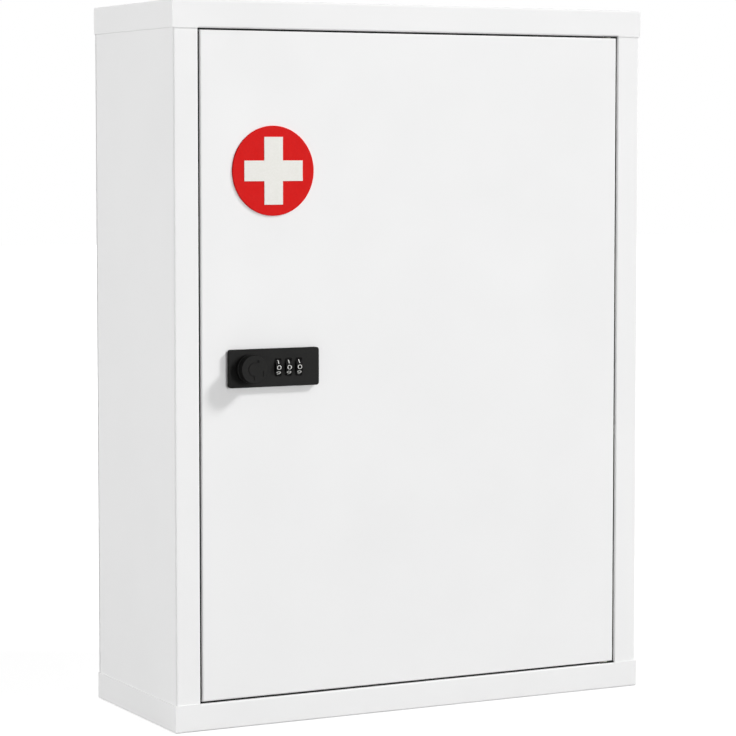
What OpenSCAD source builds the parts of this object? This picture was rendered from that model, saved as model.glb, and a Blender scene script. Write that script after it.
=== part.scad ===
// Lockable wall cabinet for medicines: a folded steel box with a flush inset door on hidden
// corner pivots, two shelves and a three-wheel combination cam lock.
// X runs from left to right, Y from front to back and Z up. The origin is the middle of the
// underside. All sizes are in millimetres.

/* [Cabinet] */
// Width over the two caps
body_w = 341; // [300:1:420]
// Depth over the two caps, without the lock
body_d = 129; // [115:1:180]
// Height over the two caps
body_h = 457; // [420:1:600]
// Thickness of the painted sheet
sheet = 0.6; // [0.5:0.1:0.9]
// Inner radius of the folds
fold_r = 0.6; // [0.4:0.1:1]
// Width of the frame round the door, which is also the depth of the caps' skirts
rim = 17.4; // [16:0.1:26]
// Width of the flanges that carry the back panel
rear_flange = 15; // [10:1:22]
// Width of the stop lip behind the door's edge
lip_w = 8; // [7:0.5:10]
// Length of the left stop's leg along the jamb
stop_leg = 8; // [4:0.5:10]
// Gap between the ends of two lips in a corner
lip_gap = 0.5; // [0.3:0.1:1]
// Distance that the top and bottom lips stop short of the hinge pin
lip_to_pin = 20; // [17:1:30]

/* [Wall holes] */
// Radius of the four wall holes
wall_hole_r = 3.5; // [2.5:0.1:5]
// Distance between the wall holes across the back
wall_hole_x = 240; // [160:1:270]
// Distance between the wall holes up the back
wall_hole_z = 340; // [200:1:370]

/* [Door] */
// Depth of the door pan
door_depth = 16; // [14:0.5:20]
// Width of the flanges turned in round the back of the door
door_return = 9; // [8.5:0.5:14]
// Least gap between the swinging hinge corner and the frame
swing_gap = 0.35; // [0.25:0.05:1]
// Thickness of the rubber bumpers behind the door
bumper_t = 1.5; // [1:0.1:3]
// Height of each bumper
bumper_h = 14; // [8:1:30]
// Width of each bumper
bumper_w = 5; // [3:0.5:6]
// Distance of each bumper from the end of the opening
bumper_end = 45; // [20:1:80]
// Width of the channel that stiffens the door
stiffener_w = 44; // [30:1:60]
// Depth of that channel
stiffener_d = 9; // [6:0.5:12]
// Place of that channel, to the right of the middle
stiffener_x = 30; // [10:1:60]
// Distance of the channel's ends from the door's edges
stiffener_end = 22; // [18:1:60]

/* [Hinges] */
// Radius of the hinge pins
pin_r = 1.75; // [1.5:0.05:2.2]
// Radius of the pins' heads
pin_head_r = 3; // [2.6:0.1:3.2]
// Thickness of the pins' heads
pin_head_t = 1.2; // [1:0.1:2]
// Distance of the pin's axis from the door's right edge
pin_inset = 6; // [5.5:0.1:8]
// Wall of the nylon bushes
bush_wall = 0.8; // [0.7:0.05:1]
// Radius of the bushes' flanges
bush_flange_r = 3.5; // [3.2:0.1:4.5]
// Clearance between the bush and the door's front sheet
bush_to_front = 0.8; // [0.5:0.1:1]
// Play above the upper bush
lift_play = 0.3; // [0.2:0.05:0.5]
// Thickness of the hinge brackets
bracket_t = 2; // [1.5:0.1:3]
// Length of each bracket's legs
bracket_leg = 24; // [18:1:40]
// Length of pin beyond the bush
pin_tail = 2; // [1:0.5:5]

/* [Shelves] */
// Height of the lower shelf's top above the underside
lower_shelf_z = 152; // [120:1:190]
// Height of the upper shelf's top above the underside
upper_shelf_z = 304; // [280:1:340]
// Depth of the flanges folded down from the shelves
shelf_flange = 12; // [8:1:20]
// Space between the lock's nut and the shelves
shelf_to_lock = 4; // [2:0.5:20]
// Clearance between the shelves' ends and the folds of the sides
shelf_end_gap = 0.3; // [0.2:0.1:2]
// Thickness of the shelf brackets
ledge_t = 1.2; // [1:0.1:2]
// Width of the shelf brackets' legs
ledge_w = 11; // [8:1:18]
// Distance of the shelf brackets' ends from the shelf's flanges
ledge_end = 4; // [2:1:20]

/* [Emblem] */
// Diameter of the round emblem
emblem_d = 56.5; // [40:0.5:70]
// Thickness of the emblem's disc
emblem_t = 1; // [0.5:0.1:2]
// Distance of the emblem's middle from the door's left edge
emblem_inset = 49.8; // [40:0.1:90]
// Distance of the emblem's middle below the top of the cabinet
emblem_drop = 105.8; // [80:0.1:150]
// Width of the cross
cross_w = 40.5; // [30:0.5:48]
// Height of the cross
cross_h = 42.5; // [30:0.5:48]
// Width of the cross's arms
cross_arm = 12.9; // [8:0.1:18]
// Thickness of the cross
cross_t = 0.3; // [0.2:0.05:0.6]

/* [Lock] */
// Width of the lock's face plate
lock_w = 62.2; // [60:0.1:70]
// Height of the face plate
lock_h = 24; // [22:0.1:32]
// Thickness of the face plate
plate_t = 3.5; // [2.5:0.1:5]
// Radius of the face plate's corners
plate_corner_r = 1.8; // [0.8:0.1:4]
// Distance of the face plate from the door's left edge
lock_inset = 18; // [14:0.5:30]
// Distance of the lock's middle below the middle of the door
lock_drop = 0.9; // [-20:0.1:40]
// Width of the housing behind the face plate
housing_w = 56; // [55:0.5:58]
// Wall of the housing above and below the wheels
housing_wall = 2.9; // [2:0.1:3.5]
// Clearance of the housing in the door's cut-out
cutout_gap = 0.3; // [0.2:0.05:0.6]
// Thickness of the clamp that holds the lock in the door
clamp_t = 1.5; // [1:0.1:2]
// Height of the clamp
clamp_h = 15; // [12:0.5:18]
// Length of the clamp's feet
clamp_foot = 7; // [5:0.5:10]
// Distance of the clamp screws from the housing's ends
screw_edge = 2.6; // [2.4:0.1:3]
// Distance of the clamp screws above and below the lock's middle
screw_z = 4.5; // [4:0.1:5]
// Radius of the clamp screws
screw_r = 1.25; // [1:0.05:1.4]
// Radius of the screws' heads
screw_head_r = 2.4; // [2:0.1:2.6]
// Height of the screws' heads
screw_head_t = 1.6; // [1.2:0.1:2.2]
// Length of the screws below their heads
screw_l = 8; // [5:0.5:10]

/* [Dial wheels] */
// Radius of the numbered wheels
wheel_r = 6.1; // [5.8:0.1:6.6]
// Width of the numbered wheels
wheel_w = 4.4; // [4:0.1:4.6]
// Distance between neighbouring wheels' middles
wheel_pitch = 7.25; // [7.1:0.05:7.5]
// Distance of the right wheel's middle from the housing's right end
wheel_edge = 11.2; // [10.8:0.1:12]
// Distance that the wheels stand out of the face plate
wheel_proud = 1.9; // [1.5:0.1:2.4]
// Number of digits round a wheel
digits = 10; // [10:2:12]
// Radius of the grip grooves between the digits
groove_r = 0.45; // [0.3:0.05:0.6]
// Clearance at each side of a wheel in its window
wheel_side_gap = 0.15; // [0.1:0.05:0.25]
// Clearance of the wheels inside the housing
chamber_gap = 0.5; // [0.3:0.05:0.8]
// Clearance above and below a wheel in its window
window_end_gap = 0.9; // [0.5:0.1:1.2]
// Radius of the windows' corners
window_corner_r = 1.2; // [0.6:0.1:1.4]
// Thickness of the wall round the windows
window_wall = 0.8; // [0.6:0.1:1.2]
// Radius of the wheels' axle
axle_r = 1.25; // [1:0.05:1.5]
// Length of the axle that sits in the housing at each end
axle_seat = 2; // [1.5:0.1:2.2]
// Clearance between the code discs and the wall round the windows
code_gap = 0.4; // [0.2:0.05:0.6]
// Thickness of the code discs
code_t = 1.6; // [1.4:0.1:1.9]
// Depth of the gates in the code discs
gate_d = 0.9; // [0.6:0.1:1.2]
// Thickness of the detent spring
spring_t = 0.4; // [0.3:0.05:0.5]
// Width of each finger of the detent spring
spring_finger = 3.2; // [2.6:0.1:3.4]
// Clearance between the spring and the wheels
spring_gap = 0.15; // [0.1:0.05:0.3]
// Thickness of the locking bar
bar_t = 2; // [1.5:0.1:2.4]
// Height of the locking bar's fingers
bar_finger = 2; // [1.6:0.1:2.4]
// Thickness of the locking bar's fingers
bar_finger_t = 1.2; // [1:0.1:1.3]
// Clearance of the locking bar's fingers and nose
bar_gap = 0.3; // [0.2:0.05:0.4]

/* [Knob and cam] */
// Diameter of the knob
knob_d = 18.2; // [16:0.1:20]
// Height of the knob
knob_t = 9.4; // [7:0.1:12]
// Clearance between the knob and the face plate
knob_gap = 0.2; // [0.1:0.05:0.5]
// Width of the knob's front chamfer
knob_chamfer = 0.4; // [0.2:0.1:1]
// Distance of the knob's axis from the housing's left end
knob_edge = 9.8; // [9.4:0.1:10.4]
// Radius of the spindle
spindle_r = 4; // [3.6:0.1:4.2]
// Radius of the spindle's nose inside the knob
nose_r = 3; // [2:0.1:3.4]
// Length of the spindle's nose inside the knob
nose_l = 6.5; // [3:0.1:6.8]
// Radius of the spindle's collar
collar_r = 5.6; // [5.2:0.1:5.9]
// Thickness of the spindle's collar
collar_t = 3; // [2.6:0.1:4]
// Play at each face of the collar
collar_play = 0.2; // [0.1:0.05:0.4]
// Depth of the notch in the collar
notch_d = 1.4; // [1:0.1:1.5]
// Width of the spindle's square end
square_w = 5.4; // [5.2:0.1:5.6]
// Thickness of the cam
cam_t = 2; // [1.5:0.1:3]
// Width of the cam
cam_w = 12; // [10:0.5:16]
// Distance that the cam reaches behind the stop lip
cam_catch = 5; // [3:0.5:7]
// Clearance between the cam and the stop lip
cam_gap = 0.8; // [0.4:0.1:2]
// Clearance between the cam and the screws' heads
cam_to_screws = 0.5; // [0.3:0.1:1]
// Radius of the washer behind the cam
washer_r = 6; // [4.5:0.1:6]
// Thickness of the washer
washer_t = 0.8; // [0.5:0.1:1.5]
// Radius of the spindle's threaded end
thread_r = 2.5; // [2:0.1:2.6]
// Width of the nut across its flats
nut_w = 8; // [7:0.1:10]
// Height of the nut
nut_t = 3.5; // [2.5:0.1:4.5]
// Length of thread that shows beyond the nut
thread_tail = 0.8; // [0.5:0.1:2]

/* [Fits] */
// Radial clearance of a pin or shaft that turns in its hole
running_fit = 0.05; // [0.02:0.01:0.08]
// Clearance round a piece that is fixed in its hole
seat_fit = 0.05; // [0.02:0.01:0.1]

/* [Hidden] */
$fn = 48;

cut = 1;                              // how far a cutter runs past the face that it cuts
fold_out = fold_r + sheet;            // outer radius of a fold
half_w = body_w / 2;
front_y = -body_d / 2;                // front of the caps
back_y = body_d / 2;                  // back of the caps
face_y = front_y + sheet;             // front of the door and of the sides' flanges
wall_x = half_w - sheet;              // outside of the sides
room_x = half_w - 2 * sheet;          // inside of the sides
panel_y = back_y - 2 * sheet;         // front of the back panel
flange_y = panel_y - sheet;           // front of the sides' rear flanges

open_x = half_w - rim;                // half the width of the door opening
bush_r = pin_r + running_fit + bush_wall;
pin_setback = sheet + bush_to_front + bush_r;  // pin's axis behind the door's face
// The hinge corner is round, so it reaches furthest when its round's middle lies straight
// to the right of the pin.
corner_reach = norm([pin_inset - fold_out, pin_setback - fold_out]) + fold_out;
door_gap = corner_reach - pin_inset + swing_gap;

door_x = open_x - door_gap;           // half the width of the door
door_z = rim + door_gap;              // bottom of the door
door_h = body_h - 2 * door_z;
door_back_y = face_y + door_depth;
lip_y = door_back_y + bumper_t;       // front of the stop lips
lip_back_y = lip_y + sheet;
pin_x = door_x - pin_inset;
pin_y = face_y + pin_setback;
pin_top = door_z + sheet + bracket_t + pin_tail;

lock_x = -door_x + lock_inset + lock_w / 2;
chamber_h = 2 * (wheel_r + chamber_gap);
housing_h = chamber_h + 2 * housing_wall;
cam_y = lip_back_y + cam_gap - face_y;          // the lock's own Y starts at the door's face
housing_d = cam_y - cam_to_screws - screw_head_t - clamp_t;
knob_x = knob_edge - housing_w / 2;
cam_reach = lock_x + knob_x + open_x - lip_w + cam_catch;
wheel_y = wheel_r - plate_t - wheel_proud;      // the wheels' axis behind the door's face
window_depth = plate_t - window_wall;
// Half the height of a wheel where it leaves the chamber
wheel_half = sqrt(wheel_r ^ 2 - (wheel_y + window_depth) ^ 2);
window_w = wheel_w + 2 * wheel_side_gap;
window_h = 2 * (wheel_half + window_end_gap);
wheel_places = [for (i = [-2:0]) housing_w / 2 - wheel_edge + i * wheel_pitch];
chamber_x0 = wheel_places[0] - wheel_w / 2 - 3 * wheel_side_gap;
chamber_x1 = wheel_places[2] + wheel_w / 2 + code_t + 3 * wheel_side_gap;
code_r = wheel_y + window_depth - code_gap;
spring_y = wheel_y + wheel_r + spring_gap;
bar_y1 = housing_d - collar_play;               // back of the locking bar and the collar
bar_y0 = bar_y1 - bar_t;
collar_y0 = bar_y1 - collar_t;
thread_end = cam_y + cam_t + washer_t + nut_t + thread_tail;
shelf_y = face_y + thread_end + shelf_to_lock;
shelf_x = room_x - fold_r - shelf_end_gap;      // half the width of the shelves

white = [0.93, 0.93, 0.93];
steel = [0.72, 0.73, 0.75];
black = [0.13, 0.13, 0.13];
nylon = [0.9, 0.89, 0.85];

// ---- folded sheet ----

// A strip of sheet folded square at each inner point of its centre line.
module fold_strip(points, t = sheet, r = fold_r) {
    mid_r = r + t / 2;
    last = len(points) - 1;
    for (i = [0:last - 1]) {
        along = unit(points[i + 1] - points[i]);
        start = points[i] + (i > 0 ? mid_r : 0) * along;
        end = points[i + 1] - (i < last - 1 ? mid_r : 0) * along;
        side = [abs(along[1]), abs(along[0])] * t / 2;
        low = [min(start[0], end[0]), min(start[1], end[1])] - side;
        high = [max(start[0], end[0]), max(start[1], end[1])] + side;
        translate(low) square(high - low);
    }
    for (i = [1:last - 1]) {
        back = unit(points[i - 1] - points[i]);
        on = unit(points[i + 1] - points[i]);
        corner = -(back + on);
        translate(points[i] + (back + on) * mid_r)
            intersection() {
                difference() {
                    circle(r + t);
                    circle(r);
                }
                translate([min(corner[0], 0), min(corner[1], 0)] * (r + t)) square(r + t);
            }
    }
}

function unit(v) = v / norm(v);

// Extrudes a drawing of Y and Z along X from x0 to x1.
module along_x(x0, x1) translate([x0, 0, 0]) rotate([90, 0, 90]) linear_extrude(x1 - x0) children();

// Extrudes a drawing of X and Z along Y from y0 to y1.
module along_y(y0, y1) translate([0, y1, 0]) rotate([90, 0, 0]) linear_extrude(y1 - y0) children();

// Extrudes a drawing of X and Y along Z from z0 to z1.
module along_z(z0, z1) translate([0, 0, z0]) linear_extrude(z1 - z0) children();

// A cylinder along X, or along Y, from one place to another.
module rod_x(x0, x1, r) translate([x0, 0, 0]) rotate([0, 90, 0]) cylinder(h = x1 - x0, r = r);
module rod_y(y0, y1, r) translate([0, y0, 0]) rotate([-90, 0, 0]) cylinder(h = y1 - y0, r = r);

module round_rect(w, h, r) {
    square([w, h - 2 * r], center = true);
    square([w - 2 * r, h], center = true);
    for (x = [-1, 1], y = [-1, 1]) translate([x * (w / 2 - r), y * (h / 2 - r)]) circle(r);
}

// An upright outline of width w and height h whose two bottom corners are round.
module tub_outline(w, h, r) {
    translate([-w / 2, r]) square([w, h - r]);
    translate([r - w / 2, 0]) square([w - 2 * r, 2 * r]);
    for (x = [-1, 1]) translate([x * (w / 2 - r), r]) circle(r);
}

// A block that stands on z = 0 with its bottom edges round.
module tub(w, d, h, r)
    intersection() {
        along_y(-d / 2, d / 2) tub_outline(w, h, r);
        along_x(-w / 2, w / 2) tub_outline(d, h, r);
    }

// A tray of folded sheet with its closed face on z = 0.
module tray(w, d, h)
    difference() {
        tub(w, d, h, fold_out);
        translate([0, 0, sheet]) tub(w - 2 * sheet, d - 2 * sheet, h, fold_r);
    }

// ---- cabinet ----

// The bottom cap: a tray with a folded sill and stop lip across the door opening.
module cap() {
    mid = sheet / 2;
    fold = [front_y + mid, rim - mid];
    difference() {
        tray(body_w, body_d, rim);
        translate([-open_x, front_y - cut, rim - fold_out])
            cube([2 * open_x, sheet + cut, fold_out + cut]);
    }
    difference() {
        union() {
            along_x(-open_x, open_x)
                fold_strip([[fold[0], rim - 2 * fold_out], fold,
                    [lip_back_y - fold_out, fold[1]]]);
            along_x(-open_x + lip_w + lip_gap, pin_x - lip_to_pin)
                fold_strip([[lip_y - 2 * fold_out, fold[1]], [lip_y + mid, fold[1]],
                    [lip_y + mid, rim + lip_w]]);
        }
        translate([pin_x, pin_y, 0]) cylinder(h = rim + cut, r = pin_r + seat_fit);
    }
}

module bottom_cap() color(white) cap();

module top_cap() color(white) translate([0, 0, body_h]) mirror([0, 0, 1]) cap();

// A side drawn on the left: rear flange, wall, front flange and jamb, folded from one strip.
module side_outline() {
    mid = sheet / 2;
    fold_strip([[-wall_x + rear_flange, panel_y - mid], [-wall_x + mid, panel_y - mid],
        [-wall_x + mid, face_y + mid], [-open_x - mid, face_y + mid],
        [-open_x - mid, lip_back_y - fold_out]]);
}

module left_side() color(white) along_z(fold_out, body_h - fold_out) side_outline();

module right_side() mirror([1, 0, 0]) left_side();

// The angle behind the door's free edge, welded to the left jamb, which the cam catches.
module left_stop() {
    mid = sheet / 2;
    leg_x = -open_x - sheet - mid;
    color(white)
        along_z(rim + lip_gap, body_h - rim - lip_gap)
            fold_strip([[leg_x, lip_y - stop_leg], [leg_x, lip_y + mid],
                [-open_x + lip_w, lip_y + mid]]);
}

module back_panel()
    color(white)
        difference() {
            translate([-wall_x, panel_y, fold_out])
                cube([2 * wall_x, sheet, body_h - 2 * fold_out]);
            for (x = [-1, 1], z = [-1, 1])
                translate([x * wall_hole_x / 2, 0, (body_h + z * wall_hole_z) / 2])
                    rod_y(panel_y - cut, panel_y + sheet + cut, wall_hole_r);
        }

module shelf(top) {
    mid = sheet / 2;
    color(white)
        along_x(-shelf_x, shelf_x)
            fold_strip([[shelf_y + mid, top - shelf_flange], [shelf_y + mid, top - mid],
                [flange_y - mid, top - mid], [flange_y - mid, top - shelf_flange]]);
}

module lower_shelf() shelf(lower_shelf_z);

module upper_shelf() shelf(upper_shelf_z);

// The ledge is drawn on the right-hand side, under a shelf with its top at that height.
module ledge(top, left) {
    mid = ledge_t / 2;
    seat = top - sheet;
    color(white)
        mirror([left ? 1 : 0, 0, 0])
            along_y(shelf_y + sheet + ledge_end, flange_y - sheet - ledge_end)
                fold_strip([[room_x - ledge_w, seat - mid], [room_x - mid, seat - mid],
                    [room_x - mid, seat - ledge_w]], ledge_t);
}

module lower_left_ledge() ledge(lower_shelf_z, true);

module lower_right_ledge() ledge(lower_shelf_z, false);

module upper_left_ledge() ledge(upper_shelf_z, true);

module upper_right_ledge() ledge(upper_shelf_z, false);

// ---- hinges: drawn at the bottom, and mirrored to the top ----

module at_pin(upper = false)
    translate([pin_x, pin_y, upper ? body_h : 0]) mirror([0, 0, upper ? 1 : 0]) children();

// The head lies under the sill, and the shank passes through it into the door's bush.
module hinge_pin()
    color(steel) {
        translate([0, 0, rim - sheet - pin_head_t]) cylinder(h = pin_head_t, r = pin_head_r);
        translate([0, 0, rim - sheet - pin_head_t])
            cylinder(h = pin_top - rim + sheet + pin_head_t, r = pin_r);
    }

module lower_hinge_pin() at_pin() hinge_pin();

module upper_hinge_pin() at_pin(true) hinge_pin();

// The bush is pressed into the door from outside, and its flange fills the gap.
module hinge_bush(play)
    color(nylon)
        difference() {
            union() {
                translate([0, 0, rim + play]) cylinder(h = door_gap - play, r = bush_flange_r);
                translate([0, 0, rim + play])
                    cylinder(h = door_gap - play + sheet + bracket_t, r = bush_r);
            }
            cylinder(h = door_z + sheet + bracket_t + cut, r = pin_r + running_fit);
        }

module lower_hinge_bush() at_pin() hinge_bush(0);

module upper_hinge_bush() at_pin(true) hinge_bush(lift_play);

// An angle welded into the door's corner, which holds the bush.
module hinge_bracket() {
    mid = bracket_t / 2;
    inner_x = door_x - sheet;
    inner_z = door_z + sheet;
    color(steel)
        difference() {
            along_y(face_y + fold_out, door_back_y - fold_out)
                fold_strip([[inner_x - bracket_leg, inner_z + mid], [inner_x - mid, inner_z + mid],
                    [inner_x - mid, inner_z + bracket_leg]], bracket_t);
            at_pin() cylinder(h = inner_z + bracket_t + cut, r = bush_r + seat_fit);
        }
}

module lower_hinge_bracket() hinge_bracket();

module upper_hinge_bracket() translate([0, 0, body_h]) mirror([0, 0, 1]) hinge_bracket();

// ---- door ----

module door_bumpers()
    color(black)
        for (z = [rim + bumper_end, body_h - rim - bumper_end])
            translate([-open_x + lip_w - bumper_w, door_back_y, z - bumper_h / 2])
                cube([bumper_w, bumper_t, bumper_h]);

module door_panel() {
    inner_x = door_x - sheet;
    inner_z = door_z + sheet;
    color(white)
        difference() {
            union() {
                translate([0, face_y, body_h / 2])
                    rotate([-90, 0, 0]) tray(2 * door_x, door_h, door_depth);
                difference() {
                    translate([-inner_x, door_back_y - sheet, inner_z])
                        cube([2 * inner_x, sheet, body_h - 2 * inner_z]);
                    translate([door_return - door_x, door_back_y - sheet - cut,
                        door_z + door_return])
                        cube([2 * (door_x - door_return), sheet + 2 * cut,
                            door_h - 2 * door_return]);
                }
            }
            at_lock()
                translate([-housing_w / 2 - cutout_gap, -cut, -housing_h / 2 - cutout_gap])
                    cube([housing_w + 2 * cutout_gap, sheet + 2 * cut,
                        housing_h + 2 * cutout_gap]);
            translate([pin_x, pin_y, door_z - cut])
                cylinder(h = door_h + 2 * cut, r = bush_r + seat_fit);
        }
}

// A channel spot-welded to the inside of the door's front.
module door_stiffener() {
    mid = sheet / 2;
    base_y = face_y + sheet + mid;
    foot = stiffener_w / 4;
    color(white)
        along_z(door_z + stiffener_end, body_h - door_z - stiffener_end)
            translate([stiffener_x, 0])
                fold_strip([[-stiffener_w / 2, base_y], [-foot, base_y],
                    [-foot, base_y + stiffener_d], [foot, base_y + stiffener_d],
                    [foot, base_y], [stiffener_w / 2, base_y]]);
}

module at_emblem()
    translate([emblem_inset - door_x, face_y - emblem_t, body_h - emblem_drop]) children();

module emblem_disc() color([0.84, 0.14, 0.13]) at_emblem() rod_y(0, emblem_t, emblem_d / 2);

module emblem_cross()
    color([0.92, 0.92, 0.9])
        at_emblem()
            along_y(-cross_t, 0) {
                square([cross_w, cross_arm], center = true);
                square([cross_arm, cross_h], center = true);
            }

// ---- lock: Y starts at the door's face, X and Z at the middle of the face plate ----

module at_lock() translate([lock_x, face_y, body_h / 2 - lock_drop]) children();

module at_knob() at_lock() translate([knob_x, 0, 0]) children();

module at_wheel(i) at_lock() translate([wheel_places[i], wheel_y, 0]) children();

module lock_body() color(black) at_lock() difference() {
    union() {
        along_y(-plate_t, 0) round_rect(lock_w, lock_h, plate_corner_r);
        translate([-housing_w / 2, 0, -housing_h / 2]) cube([housing_w, housing_d, housing_h]);
    }
    wheel_chamber();
    translate([knob_x, 0, 0]) {
        rod_y(-plate_t - cut, housing_d + cut, spindle_r + running_fit);
        rod_y(collar_y0 - collar_play, housing_d + cut, collar_r + collar_play);
    }
    // Passage for the locking bar, from the collar to the wheels
    translate([knob_x, collar_y0 - collar_play, -chamber_h / 2])
        cube([chamber_x0 - knob_x + cut, collar_t + 2 * collar_play + cut,
            (chamber_h + bar_finger) / 2 + bar_gap]);
    at_screws() rod_y(housing_d - screw_l, housing_d + cut, screw_r + seat_fit);
}

// The space for the wheels, open at the back, with a window for each wheel and two slots
// into which the axle drops from behind.
module wheel_chamber() {
    slot_r = axle_r + seat_fit;
    slot_x0 = chamber_x0 - axle_seat;
    slot_x1 = chamber_x1 + axle_seat;
    translate([chamber_x0, -window_depth, -chamber_h / 2])
        cube([chamber_x1 - chamber_x0, window_depth + housing_d + cut, chamber_h]);
    for (x = wheel_places) translate([x, 0, 0])
        along_y(-plate_t - cut, 0) round_rect(window_w, window_h, window_corner_r);
    translate([0, wheel_y, 0]) rod_x(slot_x0, slot_x1, slot_r);
    translate([slot_x0, wheel_y, -slot_r])
        cube([slot_x1 - slot_x0, housing_d - wheel_y + cut, 2 * slot_r]);
}

// The two clamp screws lie on a diagonal of the housing's back.
module at_screws()
    for (side = [-1, 1])
        translate([side * (housing_w / 2 - screw_edge), 0, -side * screw_z]) children();

// A hat-shaped clamp over the back of the housing, with its feet on the inside of the door.
module lock_clamp() {
    mid = clamp_t / 2;
    foot_y = sheet + mid;
    leg_x = housing_w / 2 + 2 * cutout_gap + mid;
    color(steel) at_lock() difference() {
        along_z(-clamp_h / 2, clamp_h / 2)
            fold_strip([[-leg_x - clamp_foot, foot_y], [-leg_x, foot_y],
                [-leg_x, housing_d + mid], [leg_x, housing_d + mid], [leg_x, foot_y],
                [leg_x + clamp_foot, foot_y]], clamp_t);
        translate([knob_x, 0, 0])
            rod_y(housing_d - cut, housing_d + clamp_t + cut, spindle_r + collar_play);
        at_screws() rod_y(housing_d - cut, housing_d + clamp_t + cut, screw_r + seat_fit);
    }
}

module clamp_screws()
    color(steel) at_lock() at_screws() {
        rod_y(housing_d + clamp_t, housing_d + clamp_t + screw_head_t, screw_head_r);
        rod_y(housing_d + clamp_t - screw_l, housing_d + clamp_t, screw_r);
    }

module dial_axle()
    color(steel) at_lock() translate([0, wheel_y, 0])
        rod_x(chamber_x0 - axle_seat, chamber_x1 + axle_seat, axle_r);

// A leaf spring along the top of the chamber, with a finger behind each wheel.
module detent_spring() {
    top = chamber_h / 2;
    mid = spring_t / 2;
    color(steel) at_lock() for (x = wheel_places)
        along_x(x - spring_finger / 2, x + spring_finger / 2)
            fold_strip([[housing_d, top - mid], [spring_y + mid, top - mid],
                [spring_y + mid, -bar_finger / 2]], spring_t);
    color(steel) at_lock()
        translate([chamber_x0, housing_d - spring_t * 8, top - spring_t])
            cube([chamber_x1 - chamber_x0, spring_t * 8, spring_t]);
}

// A plate that stands on the floor of the chamber, with a finger for each code disc and a
// nose for the notch in the spindle's collar.
module locking_bar() {
    bar_x0 = knob_x + collar_r + collar_play + bar_gap;
    finger_y = wheel_y + code_r + bar_gap;
    color(steel) at_lock() {
        translate([bar_x0, bar_y0, -bar_finger / 2])
            cube([chamber_x0 + wheel_w - bar_x0, bar_t, bar_finger]);
        translate([chamber_x0 + bar_gap, bar_y0, -chamber_h / 2])
            cube([chamber_x1 - chamber_x0 - 2 * bar_gap, bar_t,
                chamber_h / 2 + bar_finger / 2]);
        for (x = wheel_places)
            translate([x + (wheel_w + code_t - bar_finger_t) / 2, finger_y, -bar_finger / 2])
                cube([bar_finger_t, bar_y0 - finger_y, bar_finger]);
    }
}

// A numbered wheel with grip grooves between its digits.
module dial_wheel(i)
    color(black) at_wheel(i) difference() {
        rod_x(-wheel_w / 2, wheel_w / 2, wheel_r);
        rod_x(-wheel_w / 2 - cut, wheel_w / 2 + cut, axle_r + running_fit);
        for (k = [0:digits - 1]) rotate([(k + 0.5) * 360 / digits, 0, 0])
            translate([0, 0, wheel_r + groove_r / 2])
                rod_x(-wheel_w / 2 - cut, wheel_w / 2 + cut, groove_r);
    }

module dial_wheel_left() dial_wheel(0);

module dial_wheel_middle() dial_wheel(1);

module dial_wheel_right() dial_wheel(2);

// The disc turns with its wheel, and its gate faces the locking bar when the wheel shows 0.
module code_disc(i)
    color(steel) at_wheel(i) difference() {
        rod_x(wheel_w / 2, wheel_w / 2 + code_t, code_r);
        rod_x(wheel_w / 2 - cut, wheel_w / 2 + code_t + cut, axle_r + running_fit);
        translate([wheel_w / 2 - cut, code_r - gate_d, -bar_finger / 2 - bar_gap])
            cube([code_t + 2 * cut, gate_d + cut, bar_finger + 2 * bar_gap]);
    }

module code_disc_left() code_disc(0);

module code_disc_middle() code_disc(1);

module code_disc_right() code_disc(2);

// ---- knob, spindle and cam: the cam hangs down when the lock is open ----

module knob() {
    r = knob_d / 2;
    nose = nose_r + seat_fit;
    color(black) at_knob() translate([0, -plate_t - knob_gap, 0])
        rotate([90, 0, 0])
            rotate_extrude()
                polygon([[nose, 0], [r, 0], [r, knob_t - knob_chamfer],
                    [r - knob_chamfer, knob_t], [0, knob_t], [0, nose_l + seat_fit],
                    [nose, nose_l + seat_fit]]);
}

module knob_spindle() {
    shoulder = -plate_t - knob_gap;
    square_end = cam_y + cam_t - seat_fit;
    color(steel) at_knob() {
        rod_y(shoulder - nose_l, cam_y, nose_r);
        rod_y(shoulder, cam_y, spindle_r);
        difference() {
            rod_y(collar_y0, bar_y1, collar_r);
            translate([-bar_finger / 2 - bar_gap, collar_y0 - cut, collar_r - notch_d])
                cube([bar_finger + 2 * bar_gap, collar_t + 2 * cut, notch_d + cut]);
        }
        translate([-square_w / 2, cam_y, -square_w / 2])
            cube([square_w, square_end - cam_y, square_w]);
        rod_y(square_end, thread_end, thread_r);
    }
}

module cam()
    color(steel) at_knob()
        along_y(cam_y, cam_y + cam_t) difference() {
            union() {
                circle(cam_w / 2);
                translate([-cam_w / 2, cam_w / 2 - cam_reach])
                    square([cam_w, cam_reach - cam_w / 2]);
                translate([0, cam_w / 2 - cam_reach]) circle(cam_w / 2);
            }
            square(square_w + 2 * seat_fit, center = true);
        }

module cam_washer()
    color(steel) at_knob() difference() {
        rod_y(cam_y + cam_t, cam_y + cam_t + washer_t, washer_r);
        rod_y(cam_y, cam_y + cam_t + washer_t + cut, thread_r + seat_fit);
    }

module cam_nut() {
    nut_y = cam_y + cam_t + washer_t;
    color(steel) at_knob() difference() {
        translate([0, nut_y, 0]) rotate([-90, 0, 0])
            cylinder(h = nut_t, r = nut_w / sqrt(3), $fn = 6);
        rod_y(nut_y - cut, nut_y + nut_t + cut, thread_r + seat_fit);
    }
}

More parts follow.
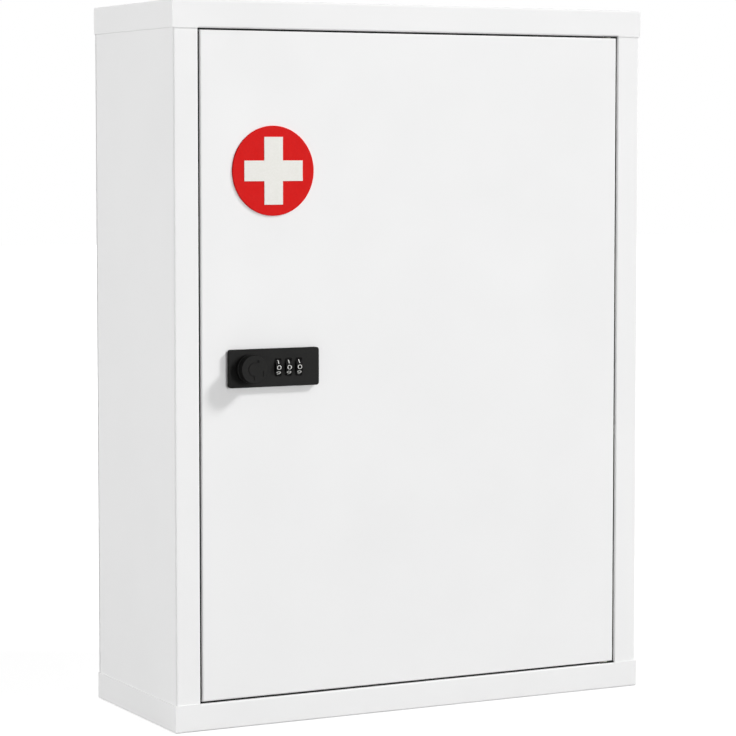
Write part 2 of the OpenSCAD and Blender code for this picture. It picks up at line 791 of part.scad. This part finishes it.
bottom_cap();
top_cap();
left_side();
right_side();
left_stop();
back_panel();
lower_shelf();
upper_shelf();
lower_left_ledge();
lower_right_ledge();
upper_left_ledge();
upper_right_ledge();
lower_hinge_pin();
upper_hinge_pin();
door_bumpers();
door_panel();
door_stiffener();
lower_hinge_bracket();
upper_hinge_bracket();
lower_hinge_bush();
upper_hinge_bush();
emblem_disc();
emblem_cross();
lock_body();
lock_clamp();
clamp_screws();
dial_axle();
detent_spring();
locking_bar();
dial_wheel_left();
dial_wheel_middle();
dial_wheel_right();
code_disc_left();
code_disc_middle();
code_disc_right();
knob();
knob_spindle();
cam();
cam_washer();
cam_nut();
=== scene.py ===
# A lockable wall cabinet for medicines: white powder-coated steel, a round red emblem and a
# black combination cam lock. Sizes are written in millimetres and turned to metres by MM.
import math

import bmesh
import bpy
from mathutils import Matrix, Vector


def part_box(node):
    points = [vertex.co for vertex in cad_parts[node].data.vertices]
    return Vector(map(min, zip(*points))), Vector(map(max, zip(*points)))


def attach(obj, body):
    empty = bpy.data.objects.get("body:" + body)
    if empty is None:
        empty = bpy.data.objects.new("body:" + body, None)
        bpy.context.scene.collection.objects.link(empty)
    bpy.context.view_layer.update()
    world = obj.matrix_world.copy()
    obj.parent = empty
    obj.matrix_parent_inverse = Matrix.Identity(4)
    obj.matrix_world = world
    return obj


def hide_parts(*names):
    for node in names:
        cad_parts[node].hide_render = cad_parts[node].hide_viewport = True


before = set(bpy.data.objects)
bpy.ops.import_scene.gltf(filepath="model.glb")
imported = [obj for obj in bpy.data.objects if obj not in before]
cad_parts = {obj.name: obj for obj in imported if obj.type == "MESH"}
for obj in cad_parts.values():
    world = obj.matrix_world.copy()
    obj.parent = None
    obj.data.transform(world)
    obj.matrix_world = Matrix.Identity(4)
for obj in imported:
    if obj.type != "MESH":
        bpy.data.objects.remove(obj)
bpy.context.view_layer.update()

MM = 0.001
scene = bpy.context.scene


# ---- small tools ----

def linear(hex_colour):
    """An sRGB hex colour as linear red, green, blue and alpha."""
    parts = [int(hex_colour[i:i + 2], 16) / 255 for i in (1, 3, 5)]
    return [c / 12.92 if c <= 0.04045 else ((c + 0.055) / 1.055) ** 2.4 for c in parts] + [1.0]


def add_node(tree, kind, inputs=None, **settings):
    """Adds a node; an input is a plain value, an output, or a node whose first output feeds it."""
    node = tree.nodes.new(kind)
    for name, value in settings.items():
        setattr(node, name, value)
    for name, value in (inputs or {}).items():
        if isinstance(value, bpy.types.Node):
            value = next(output for output in value.outputs if output.enabled)
        if isinstance(value, bpy.types.NodeSocket):
            tree.links.new(value, node.inputs[name])
        else:
            node.inputs[name].default_value = value
    return node


def new_material(name, colours, colour_size, roughness, rough_size, bump=None, **constants):
    """A finish whose colour and roughness drift between two values over patches of real sizes.

    Sizes are in millimetres. A bump is its grain's size and height, its share of strength, and
    how tightly the grain repeats along each axis. The plain values are set on the shader itself.
    """
    material = bpy.data.materials.new(name)
    material.use_nodes = True
    tree = material.node_tree
    surface = tree.nodes["Principled BSDF"]
    for socket, value in constants.items():
        surface.inputs[socket.replace("_", " ")].default_value = value
    place = add_node(tree, "ShaderNodeTexCoord").outputs["Object"]
    # noise keeps near its middle, so the part from 0.32 to 0.68 is spread over the whole drift
    patches = [add_node(tree, "ShaderNodeMapRange", {
        "Value": add_node(tree, "ShaderNodeTexNoise", {
            "Vector": place, "Scale": 1 / (size * MM), "Detail": 2.0, "Roughness": 0.55}),
        "From Min": 0.32, "From Max": 0.68}) for size in (colour_size, rough_size)]
    tint = add_node(tree, "ShaderNodeMix", {
        "Factor": patches[0], "A": linear(colours[0]), "B": linear(colours[1])}, data_type="RGBA")
    tree.links.new(tint.outputs["Result"], surface.inputs["Base Color"])
    gloss = add_node(tree, "ShaderNodeMapRange", {
        "Value": patches[1], "To Min": roughness[0], "To Max": roughness[1]})
    tree.links.new(gloss.outputs["Result"], surface.inputs["Roughness"])
    if bump:
        grain_size, height, strength, stretch = bump
        grain = add_node(tree, "ShaderNodeTexNoise", {
            "Vector": add_node(tree, "ShaderNodeMapping", {"Vector": place, "Scale": stretch}),
            "Scale": 1 / (grain_size * MM), "Detail": 1.5, "Roughness": 0.5})
        relief = add_node(tree, "ShaderNodeBump", {
            "Height": grain, "Strength": strength, "Distance": height * MM})
        tree.links.new(relief.outputs["Normal"], surface.inputs["Normal"])
    return material


# ---- materials ----

EVEN = (1.0, 1.0, 1.0)

# Polyester powder, sprayed on dry and baked on steel: a clean, neutral white with a satin
# finish. The film flows out to a faint orange peel of about 2 mm, and its gloss drifts over
# a hand's width.
POWDER = new_material(
    "white_polyester_powder_coat", ("#EDEDED", "#EFEFEF"), 90, (0.50, 0.58), 60,
    bump=(2.1, 0.02, 0.35, EVEN), IOR=1.5)

# Steel, zinc plated and passivated: a cool, softly shining grey with cloudy patches, and fine
# upright rolling lines, drawn 0.35 mm apart so that they show.
ZINC = new_material(
    "bright_zinc_plated_steel", ("#B4B8BC", "#C9CBCC"), 6, (0.30, 0.42), 4,
    bump=(0.35, 0.01, 0.25, (1.0, 1.0, 0.06)), Metallic=1.0)

# Die-cast zinc under fine-textured black paint: a flat charcoal that hardly shines, because
# its grain of about 0.3 mm, drawn at 0.45 mm so that it shows, breaks up every reflection.
BLACK_PAINT = new_material(
    "black_textured_paint_on_die_cast_zinc", ("#272727", "#2A2A29"), 1.2, (0.56, 0.66), 7,
    bump=(0.45, 0.05, 0.4, EVEN), Specular_IOR_Level=0.03)

# Glass-filled nylon, moulded: a dull black on the knob's grip, made deeper than the face's paint
# partly as painted shade on the knob's side.
SHADED_GRIP_NYLON = new_material(
    "black_nylon_grip_with_painted_shade", ("#0D0D0D", "#111110"), 1.5, (0.60, 0.70), 3,
    bump=(0.5, 0.04, 0.4, EVEN), IOR=1.53, Specular_IOR_Level=0.015)

# Acetal, injection moulded: a deeper black with a low waxy shine and the mould's eroded grain
# of about 0.2 mm, drawn at 0.3 mm.
ACETAL = new_material(
    "black_moulded_acetal", ("#0A0A0A", "#101010"), 0.8, (0.40, 0.50), 2,
    bump=(0.3, 0.02, 0.3, EVEN), IOR=1.48, Specular_IOR_Level=0.06)

# White enamel wiped into the moulded digits: an even, soft white, a little thin in places.
DIGIT_WHITE = new_material(
    "white_enamel_digits", ("#C4C4C1", "#DDDDDA"), 0.8, (0.45, 0.55), 1, IOR=1.5,
    Specular_IOR_Level=0.2)

# Rigid PVC with a screen print in signal red: a saturated satin red with the faint mottle of
# the ink.
RED = new_material(
    "red_screen_printed_pvc", ("#D41211", "#D91614"), 1.5, (0.42, 0.50), 3,
    bump=(1.5, 0.01, 0.2, EVEN), IOR=1.53, Specular_IOR_Level=0.05)

# Matt white vinyl, cut and laid on the plate: warmer and flatter than the paint round it.
VINYL = new_material(
    "matt_white_vinyl_film", ("#E8E7E1", "#ECEBE6"), 0.9, (0.50, 0.58), 2, IOR=1.5,
    Specular_IOR_Level=0.3)

# Polyamide without pigment: a milky, slightly yellow white that light enters a little way.
NYLON = new_material(
    "natural_polyamide", ("#DFDACB", "#E8E4D8"), 2, (0.42, 0.52), 2, IOR=1.53,
    Subsurface_Weight=0.25, Subsurface_Scale=0.6 * MM)

# Moulded nitrile rubber: a dull grey black with a dusty bloom and fine pores.
RUBBER = new_material(
    "black_nitrile_rubber", ("#161616", "#232322"), 0.6, (0.70, 0.85), 2,
    bump=(0.4, 0.04, 0.4, EVEN), IOR=1.52, Specular_IOR_Level=0.3)


# ---- making a piece ----

SHARP = math.radians(40)  # an edge that folds more than this is sharp enough to be eased
FORWARD = (0, -1, 0)      # the way the door faces
SIDES = ("left", "middle", "right")  # the three wheels, as seen from the front


def joined(node):
    """A CAD node's shape with its triangles joined and its flat faces made whole."""
    bm = bmesh.new()
    bm.from_mesh(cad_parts[node].data)
    bmesh.ops.remove_doubles(bm, verts=bm.verts, dist=0.001 * MM)
    bmesh.ops.dissolve_limit(bm, angle_limit=math.radians(0.3), verts=bm.verts, edges=bm.edges)
    return bm


def soften(bm, width, segments=2, front=None):
    """Rounds the sharp outer edges, over a width in millimetres.

    Where a front is given, only the edges that lie in that foremost face are rounded.
    """
    edges = [e for e in bm.edges
             if len(e.link_faces) == 2 and e.is_convex and e.calc_face_angle(0) > SHARP
             and (front is None or all(abs(v.co.y - front) < 0.01 * MM for v in e.verts))]
    bmesh.ops.bevel(bm, geom=edges, offset=width * MM, offset_type="OFFSET", segments=segments,
                    profile=0.5, affect="EDGES", clamp_overlap=True, material=-1)
    return bm


def turned(outline, centre, axis, steps):
    """Spins an outline of (radius, distance along the axis) in millimetres round an axis."""
    axis, centre = Vector(axis), Vector(centre)
    across = axis.orthogonal().normalized()
    bm = bmesh.new()
    points = [bm.verts.new(centre + across * (r * MM) + axis * (along * MM))
              for r, along in outline]
    edges = [bm.edges.new(pair) for pair in zip(points, points[1:])]
    bmesh.ops.spin(bm, geom=points + edges, cent=centre, axis=axis, angle=2 * math.pi,
                   steps=steps, use_merge=True)
    bmesh.ops.remove_doubles(bm, verts=bm.verts, dist=0.0005 * MM)
    bmesh.ops.recalc_face_normals(bm, faces=bm.faces)
    return bm


def round_corner(centre, radius, start, end, steps):
    """Points of an arc, as (radius, along) pairs, from one angle to another in degrees."""
    angles = [math.radians(start + (end - start) * i / steps) for i in range(steps + 1)]
    return [(centre[0] + radius * math.cos(a), centre[1] + radius * math.sin(a)) for a in angles]


def new_object(name, mesh, material):
    """Puts a mesh in the scene with one material."""
    piece = bpy.data.objects.new(name, mesh)
    scene.collection.objects.link(piece)
    mesh.materials.clear()
    mesh.materials.append(material)
    return piece


def finish(bm, name, body, material, nodes=(), smooth_below=32):
    """Makes the piece: smooth over its rounds and crisp at its edges, riding on a CAD body."""
    for face in bm.faces:
        face.smooth = True
    for edge in bm.edges:
        edge.smooth = edge.calc_face_angle(math.pi) < math.radians(smooth_below)
    mesh = bpy.data.meshes.new(name)
    bm.to_mesh(mesh)
    bm.free()
    piece = new_object(name, mesh, material)
    even = piece.modifiers.new("even_shading", "WEIGHTED_NORMAL")
    even.keep_sharp = True
    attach(piece, body)
    if nodes:
        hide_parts(*nodes)


def dress(node, ending, body, material, ease=0.0, segments=2, smooth_below=32):
    """Replaces a CAD node with its own shape, its outer edges eased where a width is given."""
    bm = joined(node)
    if ease:
        soften(bm, ease, segments)
    finish(bm, node + ending, body, material, [node], smooth_below)


def move_into(bm, part):
    """Moves one shape into another."""
    mesh = bpy.data.meshes.new("part")
    part.to_mesh(mesh)
    part.free()
    bm.from_mesh(mesh)
    bpy.data.meshes.remove(mesh)


def carved(bm, cutter):
    """The shape with a cutter's shape taken out of it."""
    objects = []
    for name, source in (("carved", bm), ("cutter", cutter)):
        mesh = bpy.data.meshes.new(name)
        source.to_mesh(mesh)
        source.free()
        objects.append(new_object(name, mesh, POWDER))
    cut = objects[0].modifiers.new("cut", "BOOLEAN")
    cut.operation, cut.solver, cut.object = "DIFFERENCE", "EXACT", objects[1]
    cut.use_self = True
    result = bmesh.new()
    result.from_object(objects[0], bpy.context.evaluated_depsgraph_get())
    for item in objects:
        bpy.data.meshes.remove(item.data)
    return result


def add_bar(bm, size, place):
    """Adds a block with its middle at a place, and gives its corners."""
    made = bmesh.ops.create_cube(bm, size=1.0)
    bmesh.ops.scale(bm, vec=size, verts=made["verts"])
    bmesh.ops.translate(bm, vec=place, verts=made["verts"])
    return made["verts"]


# ---- the cabinet and the door's sheet parts ----

def sheet_parts():
    """The folded and painted sheets, whose folds read as one smooth round."""
    for node in ("bottom_cap", "top_cap", "left_side", "right_side", "left_stop", "back_panel",
                 "lower_shelf", "upper_shelf", "lower_left_ledge", "lower_right_ledge",
                 "upper_left_ledge", "upper_right_ledge"):
        dress(node, "_painted", "cabinet", POWDER)
    for node in ("door_panel", "door_stiffener"):
        dress(node, "_painted", "door", POWDER)


def add_weld(bm, place, normal):
    """Adds the shallow ringed dent that a spot weld leaves under the paint, 5 mm across."""
    outline = [(0.0, 0.02), (1.3, 0.02), (1.9, 0.10), (2.2, 0.10), (2.6, -0.02)]
    mark = turned(outline, (0, 0, 0), (0, 0, 1), steps=16)
    turn = Vector(normal).to_track_quat("Z", "Y").to_matrix().to_4x4()
    mark.transform(Matrix.Translation(place) @ turn)
    move_into(bm, mark)


def spread(low, high, inset, count):
    """Even places between two ends, the outer two an inset in millimetres away from them."""
    return [low + inset * MM + i * (high - low - 2 * inset * MM) / (count - 1)
            for i in range(count)]


def weld_marks():
    """Rows of spot welds where the sheets lap: on the rear flanges, ledges and stiffener."""
    cabinet, door = bmesh.new(), bmesh.new()
    sheet, ledge_sheet = 0.6 * MM, 1.2 * MM
    low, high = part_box("left_side")
    flange_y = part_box("back_panel")[0].y - sheet
    for side in (-1, 1):
        for z in spread(low.z, high.z, 30, 6):
            add_weld(cabinet, (side * (low.x + 8.5 * MM), flange_y, z), FORWARD)
    for node in ("lower_left_ledge", "lower_right_ledge", "upper_left_ledge", "upper_right_ledge"):
        low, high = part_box(node)
        left = low.x < 0
        x = low.x + ledge_sheet if left else high.x - ledge_sheet
        for share in (0.15, 0.5, 0.85):
            y = low.y + share * (high.y - low.y)
            add_weld(cabinet, (x, y, low.z + 4.5 * MM), (1 if left else -1, 0, 0))
    low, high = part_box("door_stiffener")
    for z in spread(low.z, high.z, 20, 7):
        for x in (low.x + 5 * MM, high.x - 5 * MM):
            add_weld(door, (x, low.y + sheet, z), (0, 1, 0))
    finish(cabinet, "cabinet_weld_marks", "cabinet", POWDER, smooth_below=60)
    finish(door, "door_weld_marks", "door", POWDER, smooth_below=60)


def dust_seal():
    """Black foam tape round the door opening, and a thin tape on the door's top and free edge:
    dark sheets that paint the shade in the gap round the door.
    """
    low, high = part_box("door_panel")
    bush_low, bush_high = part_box("lower_hinge_bush")
    gap, fold = 1.107 * MM, 1.2 * MM         # the gap round the door, and its folds' radius
    front = low.y + 0.95 * MM                # where the tape starts, behind the door's face
    swing = 0.8 * MM                         # what the hinge side leaves for the door's corner
    clear = 0.1 * MM                         # what the tape keeps from each hinge bush
    thick, thin, film = 0.55 * MM, 0.25 * MM, 0.2 * MM  # sill and header, jambs, and the door
    depth, tall = high.y - front, high.z - low.z + 2 * gap
    middle_y, middle_z = front + depth / 2, (low.z + high.z) / 2
    # painted shade: dark tape inside the gap stands in for the shade deep in it
    bm = bmesh.new()
    add_bar(bm, (thin, depth, tall), (low.x - gap + thin / 2, middle_y, middle_z))
    add_bar(bm, (thin, depth - swing, tall), (high.x + gap - thin / 2, middle_y, middle_z))
    start, end = low.x - gap + thin, high.x + gap - thin
    for z, up in ((low.z - gap, 1), (high.z + gap, -1)):
        for left, right in ((start, bush_low.x - clear), (bush_high.x + clear, end)):
            add_bar(bm, (right - left, depth, thick),
                    ((left + right) / 2, middle_y, z + up * thick / 2))
        # a narrow upright strip, 0.4 mm deep and 0.8 mm tall, hides the hinge bush and paints the
        # gap there dark as shade
        add_bar(bm, (end - bush_low.x + clear, 0.4 * MM, 0.8 * MM),
                ((bush_low.x - clear + end) / 2, bush_low.y - 0.25 * MM, z + up * 0.4 * MM))
    finish(bm, "door_gap_shade_tape", "cabinet", RUBBER)
    left, right = low.x + fold, bush_low.x - 2 * clear
    # painted shade: a dark film on the door's top and free edge darkens the gap there as shade
    bm = bmesh.new()
    add_bar(bm, (right - left, depth - 0.5 * MM, film),
            ((left + right) / 2, middle_y, high.z + film / 2))
    add_bar(bm, (film, depth - fold, high.z - low.z - 2 * fold),
            (low.x - film / 2, middle_y, middle_z))
    finish(bm, "door_edge_shade_tape", "door", RUBBER)


def hinge_parts():
    """Headed pivot pins, nylon bushes, their brackets and the rubber bumpers."""
    head, head_tall, shank, chamfer = 3.0, 1.2, 1.75, 0.5  # radii and heights of a pin
    for node, up in (("lower_hinge_pin", 1), ("upper_hinge_pin", -1)):
        low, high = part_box(node)
        start = ((low.x + high.x) / 2, (low.y + high.y) / 2, low.z if up > 0 else high.z)
        length = (high.z - low.z) / MM
        outline = [(0.0, 0.0), (head - 0.5, 0.0)] + round_corner((head - 0.3, 0.3), 0.3, -90, 0, 4)
        outline += [(head, head_tall - 0.1), (head - 0.1, head_tall), (shank, head_tall),
                    (shank, length - chamfer), (shank - chamfer, length), (0.0, length)]
        pin = turned(outline, start, (0, 0, up), steps=40)
        finish(pin, node + "_turned", "cabinet", ZINC, [node])
    for node in ("lower_hinge_bush", "upper_hinge_bush"):
        dress(node, "_moulded", "door", NYLON, 0.12)
    for node in ("lower_hinge_bracket", "upper_hinge_bracket"):
        dress(node, "_pressed", "door", ZINC, 0.25)
    dress("door_bumpers", "_moulded", "cabinet", RUBBER, 0.55, 4)


# ---- the emblem ----

def round_node(node):
    """The middle of a round node's back, its front, and its radius and depth in millimetres."""
    low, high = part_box(node)
    back = Vector(((low.x + high.x) / 2, high.y, (low.z + high.z) / 2))
    return back, low.y, (high.x - low.x) / 2 / MM, (high.y - low.y) / MM


def emblem():
    """A round plate with an eased front edge and a white cross of film laid on it."""
    back, _, radius, thick = round_node("emblem_disc")
    ease = 0.35
    outline = [(0.0, 0.0), (radius, 0.0)]
    outline += round_corner((radius - ease, thick - ease), ease, 0, 90, 5) + [(0.0, thick)]
    disc = turned(outline, back, FORWARD, steps=160)
    finish(disc, "emblem_plate", "door", RED, ["emblem_disc"])
    cross = soften(joined("emblem_cross"), 0.1, front=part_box("emblem_cross")[0].y)
    finish(cross, "emblem_cross_film", "door", VINYL, ["emblem_cross"])


# ---- the lock ----

def lock_parts():
    """The lock's case, dark lips at its windows' ends that paint the shade there, its clamp and
    screws, and its insides.
    """
    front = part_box("lock_body")[0].y
    case = soften(joined("lock_body"), 0.45, 3, front)
    finish(case, "lock_case", "door", BLACK_PAINT, ["lock_body"], smooth_below=40)
    wide, deep, tall = 4.9 * MM, 0.3 * MM, 1.1 * MM
    behind, away = 0.45 * MM, 5.7 * MM  # how far from the plate's face and the wheel's middle
    # painted shade: deep black lips at each window's ends hide the digits there as the shade would
    shade_lips = bmesh.new()
    for side in SIDES:
        low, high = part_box("dial_wheel_" + side)
        middle = (low + high) / 2
        for end in (-away, away):
            add_bar(shade_lips, (wide, deep, tall), (middle.x, front + behind, middle.z + end))
    finish(shade_lips, "dial_window_shade_lips", "door", ACETAL)
    dress("lock_clamp", "_pressed", "door", ZINC, 0.2)
    screws = soften(joined("clamp_screws"), 0.35, 3)
    low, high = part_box("clamp_screws")
    head = 2.4 * MM                     # the radius of a screw's head, and below its cross slots
    long, wide, deep = 2.6 * MM, 0.55 * MM, 0.8 * MM
    slots = bmesh.new()
    for x, z in ((low.x + head, high.z - head), (high.x - head, low.z + head)):
        for across, up in ((long, wide), (wide, long)):
            add_bar(slots, (across, 2 * deep, up), (x, high.y, z))
    finish(carved(screws, slots), "clamp_screws_cross_head", "door", ZINC, ["clamp_screws"])
    for node in ("dial_axle", "detent_spring", "locking_bar"):
        dress(node, "_plated", "door", ZINC)


def digit(number, centre):
    """A digit of font strokes, bent round a wheel and turned to its place, counted upwards."""
    height, width, radius = 2.8 * MM, 3.1 * MM, 6.1 * MM
    proud = 0.03 * MM        # how far the enamel stands out of the wheel
    wider_one = 1.75         # the slim 1 keeps its form, and is drawn this much wider
    curve = bpy.data.curves.new("digit", "FONT")
    curve.body = str(number)
    curve.offset = -0.008
    curve.resolution_u = 6
    holder = bpy.data.objects.new("digit", curve)
    scene.collection.objects.link(holder)
    mesh = bpy.data.meshes.new_from_object(
        holder.evaluated_get(bpy.context.evaluated_depsgraph_get()))
    bpy.data.objects.remove(holder)
    bm = bmesh.new()
    bm.from_mesh(mesh)
    bpy.data.meshes.remove(mesh)
    bmesh.ops.remove_doubles(bm, verts=bm.verts, dist=1e-5)
    xs, ys = [v.co.x for v in bm.verts], [v.co.y for v in bm.verts]
    font_width, font_height = max(xs) - min(xs), max(ys) - min(ys)
    if number == 1:
        width = height * font_width / font_height * wider_one
    middle = Vector(((min(xs) + max(xs)) / 2, (min(ys) + max(ys)) / 2, 0))
    bmesh.ops.translate(bm, vec=-middle, verts=bm.verts)
    bmesh.ops.scale(bm, vec=(width / font_width, height / font_height, 1), verts=bm.verts)
    bands = 10               # the strokes are cut into bands so that they can bend
    for i in range(1, bands):
        level = height * (i / bands - 0.5)
        bmesh.ops.bisect_plane(bm, geom=bm.verts[:] + bm.edges[:] + bm.faces[:],
                               plane_co=(0, level, 0), plane_no=(0, 1, 0))
    bmesh.ops.triangulate(bm, faces=bm.faces)
    for face in bm.faces:
        if face.normal.z < 0:
            face.normal_flip()
    made = bmesh.ops.extrude_face_region(bm, geom=bm.faces[:])
    raised = {v for v in made["geom"] if isinstance(v, bmesh.types.BMVert)}
    for v in bm.verts:
        reach = radius + (proud if v in raised else -proud)
        angle = v.co.y / radius
        v.co = Vector((v.co.x, -reach * math.cos(angle), reach * math.sin(angle)))
    bmesh.ops.recalc_face_normals(bm, faces=bm.faces)
    if bm.calc_volume(signed=True) < 0:      # so thin a shape can come out inside out
        bmesh.ops.reverse_faces(bm, faces=bm.faces)
    turn = Matrix.Rotation(-math.radians(36 * number), 3, "X")
    bmesh.ops.rotate(bm, cent=(0, 0, 0), matrix=turn, verts=bm.verts)
    bmesh.ops.translate(bm, vec=centre, verts=bm.verts)
    return bm


def dial_wheels():
    """Three numbered wheels with rounded rims, their bent white digits and their code discs."""
    for side in SIDES:
        body, wheel = "dial_" + side, "dial_wheel_" + side
        dress(wheel, "_moulded", body, ACETAL, 0.16, smooth_below=40)
        low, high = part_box(wheel)
        digits = bmesh.new()
        for number in range(10):
            move_into(digits, digit(number, (low + high) / 2))
        finish(digits, "digits_" + side, body, DIGIT_WHITE, smooth_below=40)
        dress("code_disc_" + side, "_plated", body, ZINC, 0.1, 1)


def turn_mark(centre, front):
    """The cutter for the knob's engraved mark: an open arc with an arrow head, and a tick."""
    bm = bmesh.new()
    width, deep, reach = 0.5 * MM, 0.5 * MM, 4.3 * MM
    start, end = math.radians(72), math.radians(262)
    corners = [bm.verts.new((centre.x + r * math.cos(start), y, centre.z + r * math.sin(start)))
               for r, y in ((reach - width / 2, front - deep), (reach + width / 2, front - deep),
                            (reach + width / 2, front + deep), (reach - width / 2, front + deep))]
    face = bm.faces.new(corners)
    bmesh.ops.spin(bm, geom=[face] + face.edges[:] + corners, cent=centre, axis=FORWARD,
                   angle=end - start, steps=40, use_duplicate=False)
    bmesh.ops.contextual_create(bm, geom=corners)
    # each stroke: where it starts, in millimetres from the middle, its length and its lean
    for x, z, length, lean in ((1.2, 4.1, 2.1, 48), (2.5, 5.6, 1.7, 172), (2.5, 5.6, 1.7, -76),
                               (-0.6, -4.2, 2.6, -84), (5.7, -1.0, 3.7, -90)):
        stroke = add_bar(bm, (length * MM, 2 * deep, width),
                         (centre.x + (x + length / 2) * MM, front, centre.z + z * MM))
        bmesh.ops.rotate(bm, cent=(centre.x + x * MM, front, centre.z + z * MM),
                         matrix=Matrix.Rotation(math.radians(-lean), 3, "Y"), verts=stroke)
    bmesh.ops.recalc_face_normals(bm, faces=bm.faces)
    return bm


def knob_and_cam():
    """The knob's grip, darkened as painted shade, a thin ring whose lighter paint is a painted
    highlight, its painted face with its mark, and the cam it swings.
    """
    back, front, radius, tall = round_node("knob")
    ease = 0.6               # the round of the front edge
    groove = radius - 0.6    # the bottom of the groove that holds the ring
    ring = 3.3               # the height at which the ring starts
    face = tall - 0.9        # the height of the seat that holds the painted face
    middle = (radius - ease, tall - ease)
    grip = [(0.0, 0.0), (radius - 0.5, 0.0), (radius - 0.2, 0.3), (radius - 0.2, ring - 0.5),
            (groove, ring), (groove, ring + 0.85), (radius - 0.1, ring + 1.0),
            (radius, ring + 1.2)] + round_corner(middle, ease, 0, 50, 4)
    grip += [(radius - 0.25, face), (0.0, face)]
    band = [(groove, ring), (radius - 0.15, ring), (radius, ring + 0.15), (radius, ring + 0.65),
            (radius - 0.15, ring + 0.8), (groove, ring + 0.8), (groove, ring)]
    inlay = [(0.0, face), (radius - 0.25, face)] + round_corner(middle, ease, 54, 90, 4)
    inlay += [(0.0, tall)]
    grip, band, inlay = (turned(outline, back, FORWARD, steps=96)
                         for outline in (grip, band, inlay))
    finish(grip, "knob_grip", "lock_knob", SHADED_GRIP_NYLON)
    # painted highlight: the ring's paint is lighter than the grip, to show a lit line round the
    # knob's side
    finish(band, "knob_highlight_ring", "lock_knob", BLACK_PAINT)
    inlay = carved(inlay, turn_mark(back, front))
    finish(inlay, "knob_face", "lock_knob", BLACK_PAINT, ["knob"])
    dress("cam", "_pressed", "lock_knob", ZINC, 0.25)
    dress("cam_washer", "_pressed", "lock_knob", ZINC, 0.12)
    dress("cam_nut", "_chamfered", "lock_knob", ZINC, 0.35)
    dress("knob_spindle", "_turned", "lock_knob", ZINC)


# ---- camera, floor and light ----

def photo_camera():
    """A long lens to the left of the cabinet, a little above its middle."""
    data = bpy.data.cameras.new("front_left_view")
    data.lens, data.sensor_width, data.shift_y = 135.665, 36.0, -0.04
    data.clip_start, data.clip_end = 0.1, 30.0
    camera = bpy.data.objects.new("front_left_view", data)
    camera.location = (-853.17 * MM, -1639.02 * MM, 366.5 * MM)
    down, right = 3.964, 27.452  # where it looks, in degrees from straight back
    camera.rotation_euler = (math.radians(90 - down), 0, math.radians(-right))
    scene.collection.objects.link(camera)
    scene.camera = camera


def seen_directly(tree):
    """1 for rays that see the surroundings themselves, straight or by way of metal or glass."""
    path = add_node(tree, "ShaderNodeLightPath")
    either = path.outputs["Is Camera Ray"]
    for other in ("Is Glossy Ray", "Is Transmission Ray"):
        both = add_node(tree, "ShaderNodeMath", operation="MAXIMUM")
        tree.links.new(either, both.inputs[0])
        tree.links.new(path.outputs[other], both.inputs[1])
        either = both.outputs[0]
    return either


def pale_floor():
    """A wide pale floor that melts into the white room and keeps the cabinet's soft shadow.

    What the floor shows is lifted towards white, the more so the further it is from the cabinet.
    """
    bm = bmesh.new()
    bmesh.ops.create_grid(bm, x_segments=1, y_segments=1, size=8.0)  # 16 m across
    mesh = bpy.data.meshes.new("pale_floor")
    bm.to_mesh(mesh)
    bm.free()
    material = bpy.data.materials.new("pale_studio_floor")
    material.use_nodes = True
    tree = material.node_tree
    tree.nodes.remove(tree.nodes["Principled BSDF"])
    matt = add_node(tree, "ShaderNodeBsdfDiffuse", {"Color": linear("#A2A2A2")})
    reach = add_node(tree, "ShaderNodeVectorMath", {
        "Vector": add_node(tree, "ShaderNodeTexCoord").outputs["Object"]}, operation="LENGTH")
    lift = add_node(tree, "ShaderNodeEmission", {
        "Color": linear("#FFFFFF"),
        "Strength": add_node(tree, "ShaderNodeMapRange", {
            "Value": reach.outputs["Value"], "From Min": 0.3, "From Max": 2.0,
            "To Min": 0.76, "To Max": 0.97})})
    both = add_node(tree, "ShaderNodeAddShader")
    tree.links.new(matt.outputs[0], both.inputs[0])
    tree.links.new(lift.outputs[0], both.inputs[1])
    choose = add_node(tree, "ShaderNodeMixShader", {"Fac": seen_directly(tree)})
    tree.links.new(matt.outputs[0], choose.inputs[1])
    tree.links.new(both.outputs[0], choose.inputs[2])
    tree.links.new(choose.outputs[0], tree.nodes["Material Output"].inputs["Surface"])
    new_object("pale_floor", mesh, material)


def add_softbox(name, towards, share, width):
    """A square lamp 16 m away, as many degrees wide, that adds a share of light to a face.

    The share is what a surface turned straight to the lamp gets, where 1 shows it as painted.
    """
    distance, towards = 16.0, Vector(towards).normalized()
    cabinet_middle = Vector((0, 0, 0.23))
    data = bpy.data.lights.new(name, "AREA")
    data.shape, data.size = "SQUARE", 2 * distance * math.tan(math.radians(width / 2))
    data.energy = share * math.pi ** 2 * distance ** 2
    lamp = bpy.data.objects.new(name, data)
    lamp.location = cabinet_middle + towards * distance
    lamp.rotation_euler = towards.to_track_quat("Z", "Y").to_euler()
    scene.collection.objects.link(lamp)


def studio_light():
    """A white room, brighter at the back, with a key lamp, a front fill and one from the left."""
    world = bpy.data.worlds.new("white_room")
    scene.world = world
    world.use_nodes = True
    tree = world.node_tree
    direction = add_node(tree, "ShaderNodeSeparateXYZ", {
        "Vector": add_node(tree, "ShaderNodeTexCoord").outputs["Generated"]})
    room = add_node(tree, "ShaderNodeMapRange", {
        "Value": direction.outputs["Y"], "From Min": 0.0, "From Max": 0.7,
        "To Min": 0.24, "To Max": 1.15})
    strength = add_node(tree, "ShaderNodeMix", {
        "Factor": seen_directly(tree), "A": room, "B": 1.0}, data_type="FLOAT")
    background = tree.nodes["Background"]
    background.inputs["Color"].default_value = linear("#FFFFFF")
    tree.links.new(strength.outputs["Result"], background.inputs["Strength"])
    add_softbox("key_softbox", (1.467, -1.0, 1.349), 0.65, 9)
    add_softbox("front_fill", (0.326, -0.946, 0.1), 0.385, 9)
    add_softbox("left_softbox", (-0.975, 0.14, 0.17), 0.435, 16)


photo_camera()
pale_floor()
studio_light()
sheet_parts()
weld_marks()
hinge_parts()
dust_seal()
emblem()
lock_parts()
dial_wheels()
knob_and_cam()

scene.view_settings.view_transform = "Standard"

bpy.context.view_layer.update()
